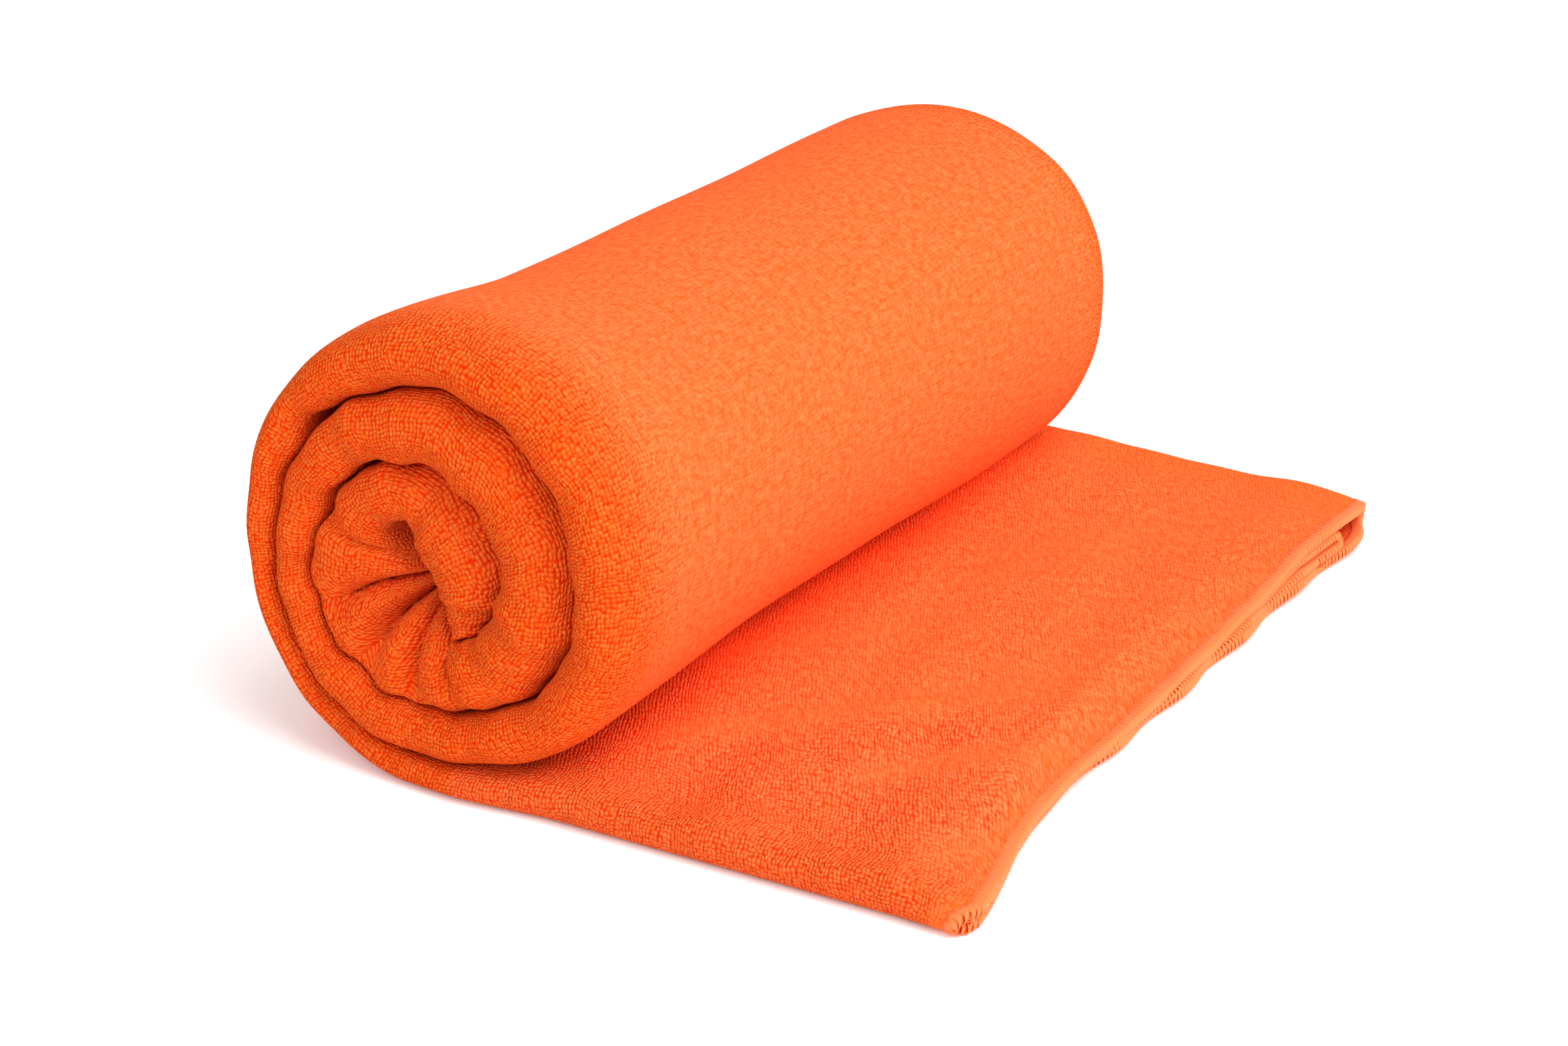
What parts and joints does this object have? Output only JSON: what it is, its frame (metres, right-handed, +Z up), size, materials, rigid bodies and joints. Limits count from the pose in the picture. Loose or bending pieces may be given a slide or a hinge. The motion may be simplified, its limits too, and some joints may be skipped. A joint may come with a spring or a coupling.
{
  "type": "rolled travel towel",
  "caption": "Quick-dry terry travel towel, folded lengthwise and rolled up, its last stretch lying out as a flat hemmed flap that can curl up onto the roll.",
  "frame": {"origin": "under the middle of the towel's box, on the surface it stands on", "axes": "+X along the flap towards its hemmed end, +Y along the axis of the roll, +Z up"},
  "size_m": [0.139, 0.1876, 0.081],
  "materials": {
    "terry": "soft matte microfibre terry, short loops with a brushed nap",
    "overlock_thread": "matte textured polyester thread"
  },
  "bodies": {
    "roll": {"outer_turn": "terry", "middle_turn": "terry", "core": "terry", "flap_base": "terry"},
    "panel_1": {"flap_panel_1": "terry"},
    "panel_2": {"flap_panel_2": "terry"},
    "panel_3": {"flap_panel_3": "terry"},
    "panel_4": {"flap_panel_4": "terry"},
    "panel_5": {"flap_panel_5": "terry"},
    "panel_6": {"flap_panel_6": "terry"},
    "panel_7": {"flap_panel_7": "terry"},
    "panel_8": {"flap_panel_8": "terry", "end_overlock": "overlock_thread"}
  },
  "joints": [
    {"name": "flap_curl", "type": "hinge", "parent": "roll", "child": "panel_1", "pos_m": [-0.02273, 0, 0.0035], "axis": [0, -1, 0], "range_deg": [0, 12.9]},
    {"name": "flap_bend_2", "type": "hinge", "parent": "panel_1", "child": "panel_2", "pos_m": [-0.01121, 0, 0.0035], "axis": [0, -1, 0], "range_deg": [0, 12.9]},
    {"name": "flap_bend_3", "type": "hinge", "parent": "panel_2", "child": "panel_3", "pos_m": [0.00032, 0, 0.0035], "axis": [0, -1, 0], "range_deg": [0, 12.9]},
    {"name": "flap_bend_4", "type": "hinge", "parent": "panel_3", "child": "panel_4", "pos_m": [0.01185, 0, 0.0035], "axis": [0, -1, 0], "range_deg": [0, 12.9]},
    {"name": "flap_bend_5", "type": "hinge", "parent": "panel_4", "child": "panel_5", "pos_m": [0.02338, 0, 0.0035], "axis": [0, -1, 0], "range_deg": [0, 12.9]},
    {"name": "flap_bend_6", "type": "hinge", "parent": "panel_5", "child": "panel_6", "pos_m": [0.03491, 0, 0.0035], "axis": [0, -1, 0], "range_deg": [0, 12.9]},
    {"name": "flap_bend_7", "type": "hinge", "parent": "panel_6", "child": "panel_7", "pos_m": [0.04644, 0, 0.0035], "axis": [0, -1, 0], "range_deg": [0, 12.9]},
    {"name": "flap_bend_8", "type": "hinge", "parent": "panel_7", "child": "panel_8", "pos_m": [0.05797, 0, 0.0035], "axis": [0, -1, 0], "range_deg": [0, 12.9]}
  ],
  "couplings": [
    {"joint": "flap_bend_2", "follows": "flap_curl", "ratio": 1},
    {"joint": "flap_bend_3", "follows": "flap_curl", "ratio": 1},
    {"joint": "flap_bend_4", "follows": "flap_curl", "ratio": 1},
    {"joint": "flap_bend_5", "follows": "flap_curl", "ratio": 1},
    {"joint": "flap_bend_6", "follows": "flap_curl", "ratio": 1},
    {"joint": "flap_bend_7", "follows": "flap_curl", "ratio": 1},
    {"joint": "flap_bend_8", "follows": "flap_curl", "ratio": 1}
  ]
}
